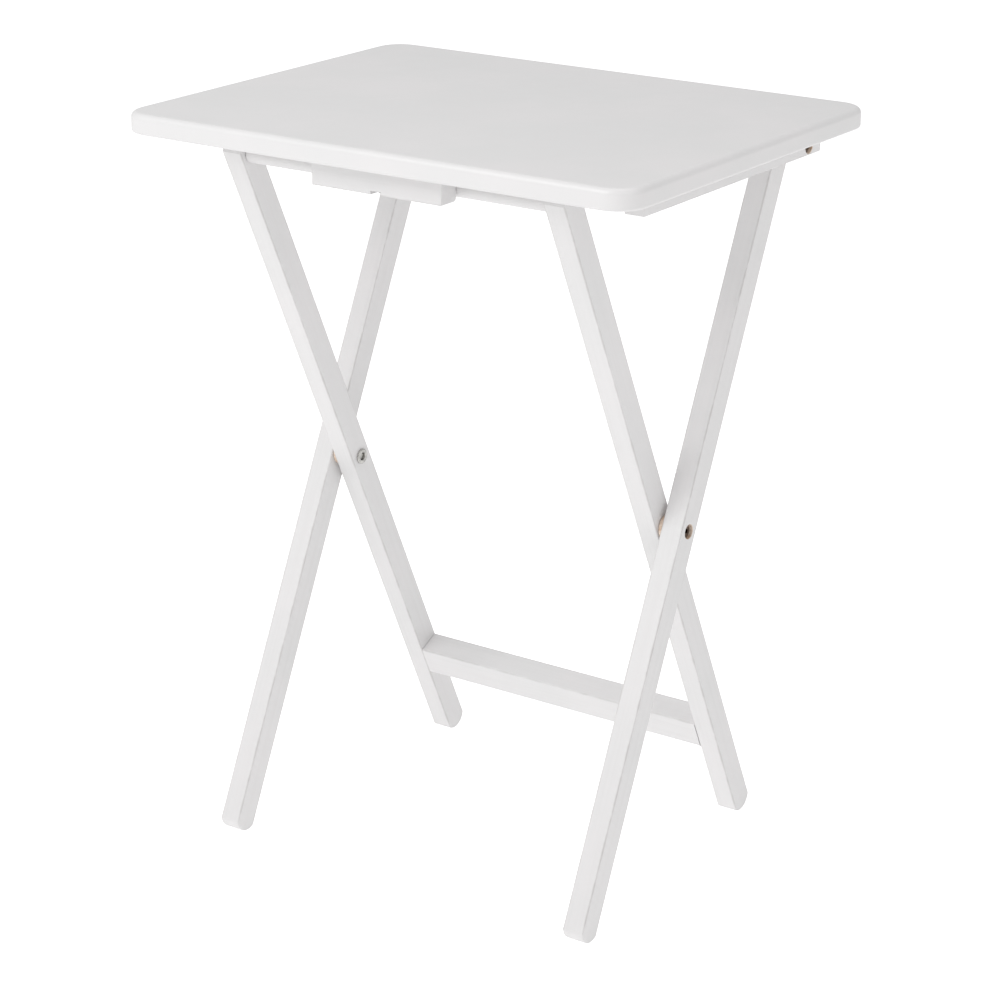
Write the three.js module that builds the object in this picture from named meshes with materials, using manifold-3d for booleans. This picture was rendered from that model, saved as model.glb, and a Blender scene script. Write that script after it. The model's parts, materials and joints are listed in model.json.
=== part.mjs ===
// A folding tray table: a painted wooden top on two crossed leg frames.
//
// X runs along the long side of the top, -Y is the front and +Z is up. The origin is on the floor under
// the middle of the top. All sizes are millimetres. The table stands open, ready for use.
//
// The outer frame's legs stand at the front and are bolted to the cleats at the rear. The inner frame's
// legs stand at the rear, and their round top ends and rail carry the front of the top.

import * as THREE from 'three';
import { mergeVertices } from 'three/addons/utils/BufferGeometryUtils.js';
import Module from 'manifold-3d';

const wasm = await Module();
wasm.setup();

// ---- Driving dimensions ----

const TABLE_HEIGHT = 633;
const SEAT = 0.3; // the gap left between two pieces that touch

const TOP_LENGTH = 483;
const TOP_DEPTH = 371;
const TOP_THICKNESS = 17;
const TOP_CORNER_RADIUS = 25;
const TOP_UPPER_ROUND = 5;
const TOP_LOWER_ROUND = 2.5;

const LEG_WIDTH = 19;
const LEG_DEPTH = 23;
const LEG_ARRIS = 1;
const LEG_END_RADIUS = 13.5;
const LEG_SPREAD = 277.5; // front to back, between the centres of a leg's two round ends
const FOOT_FLAT = 6; // the flat that the foot stands on
const CROSSING_Y = 2;

const INNER_FRAME_WIDTH = 327.4; // over the outer faces of the inner legs
const CROSSING_GAP = 3.8; // between an inner leg and the outer leg beside it
const CLEAT_GAP = 4.5; // between an outer leg and the cleat beside it

const STRETCHER_HEIGHT = 28.5;
const STRETCHER_RISE = 68.5; // up the leg from the foot's centre to the stretcher's lower edge
const STRETCHER_ARRIS = 1.5;
const STRETCHER_PIN_RADIUS = 4;
const STRETCHER_PIN_SPACING = 14;
const STRETCHER_PIN_IN_LEG = 12;
const STRETCHER_PIN_IN_STRETCHER = 16;

const RAIL_RADIUS = 7.5;
const RAIL_TENON_RADIUS = 5;
const RAIL_TENON_LENGTH = 12;
const BRAD_RADIUS = 0.8;
const BRAD_LENGTH = 14;
const BRAD_TIP = 2;
const BRAD_RECESS = 1; // how far a brad's head sits below the leg's rear face

const CLEAT_WIDTH = 18;
const CLEAT_HEIGHT = 21;
const CLEAT_AHEAD = 252; // from the top pivot to the cleat's front end
const CLEAT_BEHIND = 20;
const CLEAT_ARRIS = 1.2;
const CLEAT_END_ROUND = 0.8;
const CLEAT_SCREWS_AHEAD = [30, 132, 234]; // from the top pivot forward

const BLOCK_LENGTH = 124;
const BLOCK_DEPTH = 20;
const BLOCK_HEIGHT = 22.5;
const BLOCK_ARRIS = 1;
const BLOCK_END_ROUND = 0.6;
const BLOCK_REAR_ROUND = 3;
const BLOCK_SCREW_SPACING = 84;

const CLIP_WIDTH = 8;
const CLIP_THICKNESS = 0.8;
const CLIP_CLEARANCE = 0.5; // between the clip and the rail it holds
const CLIP_START = 3; // behind the block's front face
const CLIP_WRAP = 205; // degrees, from straight ahead of the rail, under it and up behind
const CLIP_LIP = 4;
const CLIP_LIP_FLARE = 30; // degrees that the lip opens away from the rail
const GROOVE_WIDTH = 10;
const GROOVE_DEPTH = 3;

const BOLT_RADIUS = 3;
const BOLT_HEAD_RADIUS = 5;
const BOLT_HEAD_HEIGHT = 3.4;
const BOLT_HEAD_ROUND = 0.8;
const BOLT_SOCKET_ACROSS = 4;
const BOLT_SOCKET_DEPTH = 2;
const COUNTERBORE_RADIUS = 5.9;
const COUNTERBORE_DEPTH = 6;
const NUT_FLANGE_RADIUS = 6.5;
const NUT_FLANGE_THICKNESS = 1.6;
const NUT_BARREL_RADIUS = 4.2;
const NUT_BARREL_LENGTH = 12;
const SPACER_RADIUS = 10.5;

const SCREW_RADIUS = 1.75;
const SCREW_HEAD_RADIUS = 3.7;
const SCREW_HEAD_HEIGHT = 2.4;
const SCREW_TIP = 4;
const SCREW_RECESS = 1.2; // how far a head sits above the face it went in through
const SCREW_BITE = 11; // how far a screw goes into the top
const CLIP_SCREW_LENGTH = 12;
const CLIP_SCREW_HEAD_HEIGHT = 1.4;
const CLIP_SCREW_HEAD_ROUND = 0.5;

const ROUND_SIDES = 20;
const SMALL_SIDES = 10;
const EDGE_STEPS = 2; // facets across a rounded edge
const CORNER_STEPS = 2; // facets round a small corner
const TOP_CORNER_STEPS = 7;
const LEG_END_STEPS = 8;
const CLIP_STEPS = 16;
const SOCKET_SIDES = 6;
const MERGE_DISTANCE = 1e-4;

// ---- Places worked out from the dimensions ----

const UNDERSIDE = TABLE_HEIGHT - TOP_THICKNESS;
const FOOT_CENTRE_Z = Math.sqrt(LEG_END_RADIUS ** 2 - (FOOT_FLAT / 2) ** 2);
const TOP_PIVOT_Z = UNDERSIDE - SEAT - LEG_END_RADIUS;
const LEG_RISE = TOP_PIVOT_Z - FOOT_CENTRE_Z;
const TILT = Math.atan2(LEG_SPREAD, LEG_RISE);
const LEG_HALF = Math.hypot(LEG_SPREAD, LEG_RISE) / 2; // from the crossing to an end's centre
const CROSSING_Z = (TOP_PIVOT_Z + FOOT_CENTRE_Z) / 2;
const TOP_PIVOT_Y = CROSSING_Y + LEG_SPREAD / 2;
const RAIL_Y = CROSSING_Y - LEG_SPREAD / 2;

const INNER_LEG_OUT = INNER_FRAME_WIDTH / 2;
const INNER_LEG_IN = INNER_LEG_OUT - LEG_WIDTH;
const OUTER_LEG_IN = INNER_LEG_OUT + CROSSING_GAP;
const OUTER_LEG_OUT = OUTER_LEG_IN + LEG_WIDTH;
const CLEAT_IN = OUTER_LEG_OUT + CLEAT_GAP;
const CLEAT_OUT = CLEAT_IN + CLEAT_WIDTH;

const SEATED_TOP = UNDERSIDE - SEAT; // the upper faces of what is screwed under the top
const BLOCK_REAR = RAIL_Y - RAIL_RADIUS - SEAT;
const BLOCK_FRONT = BLOCK_REAR - BLOCK_DEPTH;
const BLOCK_MIDDLE = (BLOCK_REAR + BLOCK_FRONT) / 2;
const BLOCK_BOTTOM = SEATED_TOP - BLOCK_HEIGHT;
const GROOVE_ROOF = BLOCK_BOTTOM + GROOVE_DEPTH;
const STRETCHER_Z = STRETCHER_RISE + STRETCHER_HEIGHT / 2 - LEG_HALF; // along the leg, from the crossing

// ---- Finishes ----

const WHITE_PAINT = { color: 0xf0efed, roughness: 0.42, metalness: 0 };
const BARE_BEECH = { color: 0xc9a27e, roughness: 0.7, metalness: 0 };
const ZINC_STEEL = { color: 0xb9b7b0, roughness: 0.35, metalness: 1 };
const SPRING_STEEL = { color: 0x8f8f8c, roughness: 0.3, metalness: 1 };

// ---- Shaping ----

const X_AXIS = new THREE.Vector3(1, 0, 0);
const Y_AXIS = new THREE.Vector3(0, 1, 0);
const Z_AXIS = new THREE.Vector3(0, 0, 1);
const OUTLINE_TO_X = new THREE.Matrix4().makeBasis(Y_AXIS, Z_AXIS, X_AXIS);
const OUTLINE_TO_Y = new THREE.Matrix4().makeBasis(Z_AXIS, X_AXIS, Y_AXIS);

function toSolid(geometry) {
  const bare = geometry.clone();
  bare.deleteAttribute('normal');
  bare.deleteAttribute('uv');
  const merged = mergeVertices(bare, MERGE_DISTANCE);
  return new wasm.Manifold(new wasm.Mesh({
    numProp: 3,
    vertProperties: new Float32Array(merged.attributes.position.array),
    triVerts: new Uint32Array(merged.index.array),
  }));
}

function toGeometry(solid) {
  const mesh = solid.getMesh();
  const geometry = new THREE.BufferGeometry();
  geometry.setAttribute('position', new THREE.BufferAttribute(mesh.vertProperties, 3));
  geometry.setIndex(new THREE.BufferAttribute(mesh.triVerts, 1));
  geometry.computeVertexNormals();
  return geometry;
}

function cutAway(geometry, tools) {
  let solid = toSolid(geometry);
  for (const tool of tools) {
    solid = solid.subtract(toSolid(tool));
  }
  return toGeometry(solid);
}

// A round bar from one point to another.
function rod(radius, from, to, sides = SMALL_SIDES) {
  const way = to.clone().sub(from);
  const geometry = new THREE.CylinderGeometry(radius, radius, way.length(), sides);
  geometry.applyQuaternion(new THREE.Quaternion().setFromUnitVectors(Y_AXIS, way.clone().normalize()));
  const middle = from.clone().add(to).multiplyScalar(0.5);
  return geometry.translate(middle.x, middle.y, middle.z);
}

function rodAlongX(radius, x0, x1, y, z, sides = ROUND_SIDES) {
  return rod(radius, new THREE.Vector3(x0, y, z), new THREE.Vector3(x1, y, z), sides);
}

function rodAlongZ(radius, x, y, z0, z1) {
  return rod(radius, new THREE.Vector3(x, y, z0), new THREE.Vector3(x, y, z1));
}

function box(x0, x1, y0, y1, z0, z1) {
  const geometry = new THREE.BoxGeometry(x1 - x0, y1 - y0, z1 - z0);
  return geometry.translate((x0 + x1) / 2, (y0 + y1) / 2, (z0 + z1) / 2);
}

function roundedRectangle(width, height, radius) {
  const right = width / 2 - radius;
  const up = height / 2 - radius;
  const outline = new THREE.Shape();
  outline.absarc(right, -up, radius, -Math.PI / 2, 0, false);
  outline.absarc(right, up, radius, 0, Math.PI / 2, false);
  outline.absarc(-right, up, radius, Math.PI / 2, Math.PI, false);
  outline.absarc(-right, -up, radius, Math.PI, Math.PI * 1.5, false);
  outline.closePath();
  return outline;
}

// An outline drawn out to a length, centred on its own plane, with its end edges rounded.
function drawnOut(outline, length, endRound, curveSegments) {
  const geometry = new THREE.ExtrudeGeometry(outline, {
    depth: length - 2 * endRound,
    steps: 1,
    curveSegments,
    bevelEnabled: endRound > 0,
    bevelThickness: endRound,
    bevelSize: endRound,
    bevelOffset: -endRound,
    bevelSegments: EDGE_STEPS,
  });
  return geometry.translate(0, 0, endRound - length / 2);
}

// A solid of revolution from pairs of radius and height, turned about a line along X, Y or Z.
function turned(profile, sides = ROUND_SIDES) {
  const points = profile.map(([radius, height]) => new THREE.Vector2(radius, height));
  return new THREE.LatheGeometry(points, sides);
}

function turnedAlongX(profile, side) {
  return turned(profile).rotateZ(-side * Math.PI / 2);
}

function turnedAlongY(profile) {
  return turned(profile, SMALL_SIDES);
}

function turnedAlongZ(profile) {
  return turned(profile, SMALL_SIDES).rotateX(Math.PI / 2);
}

// ---- The assembly ----

const table = new THREE.Group();
const outerFrame = new THREE.Group();
const innerFrame = new THREE.Group();
outerFrame.position.set(0, CROSSING_Y, CROSSING_Z);
innerFrame.position.set(0, CROSSING_Y, CROSSING_Z);
outerFrame.rotation.x = -TILT;
innerFrame.rotation.x = TILT;
table.add(outerFrame, innerFrame);

const SIDES = [['left', -1], ['right', 1]];

function addPiece(group, name, geometry, finish) {
  const mesh = new THREE.Mesh(geometry, new THREE.MeshStandardMaterial(finish));
  mesh.name = name;
  group.add(mesh);
  return mesh;
}

// ---- Top ----

function buildTop() {
  const outline = roundedRectangle(TOP_LENGTH, TOP_DEPTH, TOP_CORNER_RADIUS);
  const spare = TOP_THICKNESS;
  const upper = drawnOut(outline, TOP_THICKNESS + spare, TOP_UPPER_ROUND, TOP_CORNER_STEPS);
  const lower = drawnOut(outline, TOP_THICKNESS + spare, TOP_LOWER_ROUND, TOP_CORNER_STEPS);
  upper.translate(0, 0, TABLE_HEIGHT - (TOP_THICKNESS + spare) / 2);
  lower.translate(0, 0, UNDERSIDE + (TOP_THICKNESS + spare) / 2);
  const board = toGeometry(toSolid(upper).intersect(toSolid(lower)));
  const pilots = screwPlaces().map(([, x, y]) => (
    rodAlongZ(SCREW_RADIUS + SEAT, x, y, UNDERSIDE - SEAT, UNDERSIDE + SCREW_BITE + SEAT)
  ));
  addPiece(table, 'tabletop', cutAway(board, pilots), WHITE_PAINT);
}

// Every screw that goes up into the top: its name, its place and the bottom of what it holds.
function screwPlaces() {
  const places = [];
  for (const [label, side] of SIDES) {
    CLEAT_SCREWS_AHEAD.forEach((ahead, index) => {
      const x = side * (CLEAT_IN + CLEAT_OUT) / 2;
      places.push([`cleat_screw_${label}_${index + 1}`, x, TOP_PIVOT_Y - ahead, SEATED_TOP - CLEAT_HEIGHT]);
    });
    const x = side * BLOCK_SCREW_SPACING / 2;
    places.push([`block_screw_${label}`, x, BLOCK_MIDDLE, BLOCK_BOTTOM]);
  }
  return places;
}

function screwHole(x, y, bottom) {
  const headTop = bottom + SCREW_RECESS + SCREW_HEAD_HEIGHT;
  return [
    rodAlongZ(SCREW_HEAD_RADIUS + SEAT, x, y, bottom - SEAT, headTop + SEAT),
    rodAlongZ(SCREW_RADIUS + SEAT, x, y, bottom, UNDERSIDE + SEAT),
  ];
}

function buildScrews() {
  for (const [name, x, y, bottom] of screwPlaces()) {
    const head = bottom + SCREW_RECESS;
    const length = UNDERSIDE + SCREW_BITE - head;
    const screw = turnedAlongZ([
      [0, 0],
      [SCREW_HEAD_RADIUS, 0],
      [SCREW_RADIUS, SCREW_HEAD_HEIGHT],
      [SCREW_RADIUS, length - SCREW_TIP],
      [0, length],
    ]);
    addPiece(table, name, screw.translate(x, y, head), ZINC_STEEL);
  }
}

// ---- Cleats, with the counterbored top pivots ----

function buildCleat(label, side) {
  const length = CLEAT_AHEAD + CLEAT_BEHIND;
  const outline = roundedRectangle(CLEAT_HEIGHT, CLEAT_WIDTH, CLEAT_ARRIS);
  const bar = drawnOut(outline, length, CLEAT_END_ROUND, CORNER_STEPS).applyMatrix4(OUTLINE_TO_Y);
  const middleX = side * (CLEAT_IN + CLEAT_OUT) / 2;
  const middleY = TOP_PIVOT_Y + (CLEAT_BEHIND - CLEAT_AHEAD) / 2;
  bar.translate(middleX, middleY, SEATED_TOP - CLEAT_HEIGHT / 2);
  const tools = pivotHoles(side, CLEAT_IN, CLEAT_OUT, TOP_PIVOT_Y, TOP_PIVOT_Z);
  for (const [name, x, y, bottom] of screwPlaces()) {
    if (name.startsWith(`cleat_screw_${label}`)) {
      tools.push(...screwHole(x, y, bottom));
    }
  }
  addPiece(table, `cleat_${label}`, cutAway(bar, tools), WHITE_PAINT);
}

// A bolt hole through a piece from its inner to its outer face, with the head's counterbore outside.
function pivotHoles(side, inside, outside, y, z) {
  return [
    rodAlongX(BOLT_RADIUS + SEAT, side * (inside - SEAT), side * (outside + SEAT), y, z),
    rodAlongX(COUNTERBORE_RADIUS, side * (outside - COUNTERBORE_DEPTH), side * (outside + SEAT), y, z),
  ];
}

// A bolt hole through a leg, wider from its inner face for the sleeve nut's barrel.
function nutHoles(side, inside, outside, y, z) {
  const barrelEnd = inside + NUT_BARREL_LENGTH + SEAT;
  return [
    rodAlongX(BOLT_RADIUS + SEAT, side * (inside - SEAT), side * (outside + SEAT), y, z),
    rodAlongX(NUT_BARREL_RADIUS + SEAT, side * (inside - SEAT), side * barrelEnd, y, z),
  ];
}

// A cap bolt with a hexagon socket. Its head sits on the counterbore's floor, and its end is in the nut.
function buildBolt(group, name, side, nutFace, outside, y, z) {
  const headSeat = outside - COUNTERBORE_DEPTH + SEAT;
  const shank = headSeat - nutFace;
  const bolt = turnedAlongX([
    [0, 0],
    [BOLT_RADIUS, 0],
    [BOLT_RADIUS, shank],
    [BOLT_HEAD_RADIUS, shank],
    [BOLT_HEAD_RADIUS, shank + BOLT_HEAD_HEIGHT - BOLT_HEAD_ROUND],
    [BOLT_HEAD_RADIUS - BOLT_HEAD_ROUND, shank + BOLT_HEAD_HEIGHT],
    [0, shank + BOLT_HEAD_HEIGHT],
  ], side);
  const top = side * (shank + BOLT_HEAD_HEIGHT);
  const socketRadius = BOLT_SOCKET_ACROSS / Math.sqrt(3);
  const socket = rodAlongX(socketRadius, top - side * BOLT_SOCKET_DEPTH, top + side * SEAT, 0, 0, SOCKET_SIDES);
  addPiece(group, name, cutAway(bolt, [socket]).translate(side * nutFace, y, z), ZINC_STEEL);
}

// A sleeve nut: a flange against the leg's inner face and a barrel inside the leg.
function buildNut(group, name, side, inside, y, z) {
  const flangeOut = -SEAT - NUT_FLANGE_THICKNESS;
  const nut = turnedAlongX([
    [BOLT_RADIUS + SEAT, flangeOut],
    [NUT_FLANGE_RADIUS, flangeOut],
    [NUT_FLANGE_RADIUS, -SEAT],
    [NUT_BARREL_RADIUS, -SEAT],
    [NUT_BARREL_RADIUS, NUT_BARREL_LENGTH],
    [BOLT_RADIUS + SEAT, NUT_BARREL_LENGTH],
    [BOLT_RADIUS + SEAT, flangeOut],
  ], side);
  addPiece(group, name, nut.translate(side * inside, y, z), ZINC_STEEL);
}

// A wooden spacer washer that fills the gap between two faces.
function buildSpacer(group, name, side, inside, outside, y, z) {
  const thickness = outside - inside - 2 * SEAT;
  const ring = turnedAlongX([
    [BOLT_RADIUS + SEAT, 0],
    [SPACER_RADIUS, 0],
    [SPACER_RADIUS, thickness],
    [BOLT_RADIUS + SEAT, thickness],
    [BOLT_RADIUS + SEAT, 0],
  ], side);
  addPiece(group, name, ring.translate(side * (inside + SEAT), y, z), BARE_BEECH);
}

function buildTopPivot(label, side) {
  buildBolt(table, `top_pivot_bolt_${label}`, side, OUTER_LEG_IN, CLEAT_OUT, TOP_PIVOT_Y, TOP_PIVOT_Z);
  buildNut(table, `top_pivot_nut_${label}`, side, OUTER_LEG_IN, TOP_PIVOT_Y, TOP_PIVOT_Z);
  buildSpacer(table, `top_pivot_spacer_${label}`, side, OUTER_LEG_OUT, CLEAT_IN, TOP_PIVOT_Y, TOP_PIVOT_Z);
}

function buildCrossing(label, side) {
  buildBolt(outerFrame, `crossing_bolt_${label}`, side, INNER_LEG_IN, OUTER_LEG_OUT, 0, 0);
  buildNut(outerFrame, `crossing_nut_${label}`, side, INNER_LEG_IN, 0, 0);
  buildSpacer(outerFrame, `crossing_spacer_${label}`, side, INNER_LEG_OUT, OUTER_LEG_IN, 0, 0);
}

// ---- Legs: here Z runs up the leg from the crossing ----

// What lies below the floor at a leg's foot, in the leaning frame's own directions.
function belowFloor(x, footY, lean) {
  const reach = 2 * LEG_END_RADIUS;
  const slab = box(x - reach, x + reach, footY - reach, footY + reach, -reach, 0);
  slab.translate(0, -CROSSING_Y, -CROSSING_Z);
  return slab.rotateX(-lean);
}

function legBar(middleX) {
  const sweep = Math.asin(LEG_DEPTH / 2 / LEG_END_RADIUS);
  const quarter = Math.PI / 2;
  const outline = new THREE.Shape();
  outline.absarc(0, LEG_HALF, LEG_END_RADIUS, quarter - sweep, quarter + sweep, false);
  outline.absarc(0, -LEG_HALF, LEG_END_RADIUS, -quarter - sweep, -quarter + sweep, false);
  outline.closePath();
  const bar = drawnOut(outline, LEG_WIDTH, LEG_ARRIS, LEG_END_STEPS).applyMatrix4(OUTLINE_TO_X);
  return bar.translate(middleX, 0, 0);
}

function buildOuterLeg(label, side) {
  const middleX = side * (OUTER_LEG_IN + OUTER_LEG_OUT) / 2;
  const tools = [
    belowFloor(middleX, CROSSING_Y - LEG_SPREAD / 2, -TILT),
    ...pivotHoles(side, OUTER_LEG_IN, OUTER_LEG_OUT, 0, 0),
    ...nutHoles(side, OUTER_LEG_IN, OUTER_LEG_OUT, 0, LEG_HALF),
  ];
  addPiece(outerFrame, `outer_leg_${label}`, cutAway(legBar(middleX), tools), WHITE_PAINT);
}

function buildInnerLeg(label, side) {
  const middleX = side * (INNER_LEG_IN + INNER_LEG_OUT) / 2;
  const face = side * (INNER_LEG_IN - SEAT);
  const mortiseEnd = side * (INNER_LEG_IN + RAIL_TENON_LENGTH + SEAT);
  const pinHoleEnd = side * (INNER_LEG_IN + STRETCHER_PIN_IN_LEG + SEAT);
  const tools = [
    belowFloor(middleX, CROSSING_Y + LEG_SPREAD / 2, TILT),
    ...nutHoles(side, INNER_LEG_IN, INNER_LEG_OUT, 0, 0),
    rodAlongX(RAIL_TENON_RADIUS + SEAT, face, mortiseEnd, 0, LEG_HALF),
    bradHole(side),
    ...stretcherPinHeights().map((z) => (
      rodAlongX(STRETCHER_PIN_RADIUS + SEAT, face, pinHoleEnd, 0, z, SMALL_SIDES)
    )),
  ];
  addPiece(innerFrame, `inner_leg_${label}`, cutAway(legBar(middleX), tools), WHITE_PAINT);
}

// ---- Stretcher, near the floor between the inner legs ----

function stretcherPinHeights() {
  return [-0.5, 0.5].map((step) => STRETCHER_Z + step * STRETCHER_PIN_SPACING);
}

function buildStretcher() {
  const half = INNER_LEG_IN - SEAT;
  const outline = roundedRectangle(LEG_DEPTH, STRETCHER_HEIGHT, STRETCHER_ARRIS);
  const bar = drawnOut(outline, 2 * half, 0, CORNER_STEPS).applyMatrix4(OUTLINE_TO_X);
  const tools = [];
  for (const [label, side] of SIDES) {
    const inEnd = side * (half - STRETCHER_PIN_IN_STRETCHER);
    const outEnd = side * (INNER_LEG_IN + STRETCHER_PIN_IN_LEG);
    stretcherPinHeights().forEach((z, index) => {
      const pin = rodAlongX(STRETCHER_PIN_RADIUS, inEnd, outEnd, 0, z, SMALL_SIDES);
      addPiece(innerFrame, `stretcher_pin_${label}_${index + 1}`, pin, BARE_BEECH);
      const holeEnd = inEnd - side * SEAT;
      tools.push(rodAlongX(STRETCHER_PIN_RADIUS + SEAT, holeEnd, outEnd, 0, z, SMALL_SIDES));
    });
  }
  const board = bar.translate(0, 0, STRETCHER_Z);
  addPiece(innerFrame, 'stretcher', cutAway(board, tools), WHITE_PAINT);
}

// ---- Rail between the inner legs' tops, and the brads that lock its tenons ----

function bradX(side) {
  return side * (INNER_LEG_IN + RAIL_TENON_LENGTH / 2);
}

function bradHole(side) {
  const end = LEG_DEPTH / 2 - BRAD_RECESS - BRAD_LENGTH - SEAT;
  const from = new THREE.Vector3(bradX(side), LEG_DEPTH / 2 + SEAT, LEG_HALF);
  return rod(BRAD_RADIUS + SEAT, from, new THREE.Vector3(bradX(side), end, LEG_HALF));
}

function buildRail() {
  const shoulder = INNER_LEG_IN - SEAT;
  const tenonEnd = INNER_LEG_IN + RAIL_TENON_LENGTH;
  const rail = turnedAlongX([
    [0, -tenonEnd],
    [RAIL_TENON_RADIUS, -tenonEnd],
    [RAIL_TENON_RADIUS, -shoulder],
    [RAIL_RADIUS, -shoulder],
    [RAIL_RADIUS, shoulder],
    [RAIL_TENON_RADIUS, shoulder],
    [RAIL_TENON_RADIUS, tenonEnd],
    [0, tenonEnd],
  ], 1);
  rail.translate(0, 0, LEG_HALF);
  addPiece(innerFrame, 'top_rail', cutAway(rail, SIDES.map(([, side]) => bradHole(side))), WHITE_PAINT);
  for (const [label, side] of SIDES) {
    const brad = turnedAlongY([
      [0, 0],
      [BRAD_RADIUS, BRAD_TIP],
      [BRAD_RADIUS, BRAD_LENGTH],
      [0, BRAD_LENGTH],
    ]);
    const tipY = LEG_DEPTH / 2 - BRAD_RECESS - BRAD_LENGTH;
    addPiece(innerFrame, `rail_brad_${label}`, brad.translate(bradX(side), tipY, LEG_HALF), ZINC_STEEL);
  }
}

// ---- Catch block under the front edge, and the spring clip that holds the rail ----

function buildCatchBlock() {
  const outline = new THREE.Shape();
  const quarter = Math.PI / 2;
  const corner = (y, z, radius, start) => {
    outline.absarc(y, z, radius, start, start + quarter, false);
  };
  const low = BLOCK_BOTTOM + BLOCK_ARRIS;
  const high = SEATED_TOP - BLOCK_ARRIS;
  corner(BLOCK_FRONT + BLOCK_ARRIS, low, BLOCK_ARRIS, 2 * quarter);
  corner(BLOCK_REAR - BLOCK_REAR_ROUND, BLOCK_BOTTOM + BLOCK_REAR_ROUND, BLOCK_REAR_ROUND, 3 * quarter);
  corner(BLOCK_REAR - BLOCK_ARRIS, high, BLOCK_ARRIS, 0);
  corner(BLOCK_FRONT + BLOCK_ARRIS, high, BLOCK_ARRIS, quarter);
  outline.closePath();
  const block = drawnOut(outline, BLOCK_LENGTH, BLOCK_END_ROUND, CORNER_STEPS + 1).applyMatrix4(OUTLINE_TO_X);
  const half = GROOVE_WIDTH / 2;
  const clipScrewTop = GROOVE_ROOF + CLIP_SCREW_LENGTH;
  const tools = [
    box(-half, half, BLOCK_FRONT - SEAT, BLOCK_REAR + SEAT, BLOCK_BOTTOM - SEAT, GROOVE_ROOF),
    rodAlongZ(SCREW_RADIUS + SEAT, 0, BLOCK_MIDDLE, GROOVE_ROOF - SEAT, clipScrewTop),
  ];
  for (const [name, x, y, bottom] of screwPlaces()) {
    if (name.startsWith('block_screw')) {
      tools.push(...screwHole(x, y, bottom));
    }
  }
  addPiece(table, 'catch_block', cutAway(block, tools), WHITE_PAINT);
}

function buildClip() {
  const inside = RAIL_RADIUS + CLIP_CLEARANCE;
  const outside = inside + CLIP_THICKNESS;
  const stripTop = GROOVE_ROOF - SEAT;
  const stripBottom = stripTop - CLIP_THICKNESS;
  const front = BLOCK_FRONT + CLIP_START;
  const insideStart = Math.PI + Math.asin((TOP_PIVOT_Z - stripTop) / inside);
  const outsideStart = Math.PI + Math.asin((TOP_PIVOT_Z - stripBottom) / outside);
  const end = Math.PI + THREE.MathUtils.degToRad(CLIP_WRAP);
  const lipTurn = end + THREE.MathUtils.degToRad(CLIP_LIP_FLARE);
  const lipY = RAIL_Y + inside * Math.cos(end) + CLIP_LIP * Math.cos(lipTurn);
  const lipZ = TOP_PIVOT_Z + inside * Math.sin(end) + CLIP_LIP * Math.sin(lipTurn);
  const outline = new THREE.Shape();
  outline.absarc(RAIL_Y, TOP_PIVOT_Z, inside, insideStart, end, false);
  outline.lineTo(lipY, lipZ);
  outline.lineTo(lipY + CLIP_THICKNESS * Math.sin(lipTurn), lipZ - CLIP_THICKNESS * Math.cos(lipTurn));
  outline.absarc(RAIL_Y, TOP_PIVOT_Z, outside, end, outsideStart, true);
  outline.lineTo(front, stripBottom);
  outline.lineTo(front, stripTop);
  outline.closePath();
  const strip = drawnOut(outline, CLIP_WIDTH, 0, CLIP_STEPS).applyMatrix4(OUTLINE_TO_X);
  const hole = rodAlongZ(SCREW_RADIUS + SEAT, 0, BLOCK_MIDDLE, stripBottom - SEAT, stripTop + SEAT);
  addPiece(table, 'rail_clip', cutAway(strip, [hole]), SPRING_STEEL);

  const head = stripBottom - SEAT - CLIP_SCREW_HEAD_HEIGHT;
  const screw = turnedAlongZ([
    [0, 0],
    [SCREW_HEAD_RADIUS - CLIP_SCREW_HEAD_ROUND, 0],
    [SCREW_HEAD_RADIUS, CLIP_SCREW_HEAD_ROUND],
    [SCREW_HEAD_RADIUS, CLIP_SCREW_HEAD_HEIGHT],
    [SCREW_RADIUS, CLIP_SCREW_HEAD_HEIGHT],
    [SCREW_RADIUS, CLIP_SCREW_LENGTH - SCREW_TIP],
    [0, CLIP_SCREW_LENGTH],
  ]);
  addPiece(table, 'clip_screw', screw.translate(0, BLOCK_MIDDLE, head), ZINC_STEEL);
}

buildTop();
buildCatchBlock();
buildClip();
buildRail();
buildStretcher();
for (const [label, side] of SIDES) {
  buildCleat(label, side);
  buildOuterLeg(label, side);
  buildInnerLeg(label, side);
  buildTopPivot(label, side);
  buildCrossing(label, side);
}
buildScrews();

export default table;
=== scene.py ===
"""A white folding tray table: a painted board on two crossed pairs of wooden legs.

Every piece is modelled at rest, in metres, and rides on the body that it belongs to. X runs along the long
side of the top, -Y is the front and +Z is up.
"""

import json
import math

import bmesh
import bpy
from mathutils import Euler, Matrix, Vector


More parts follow.
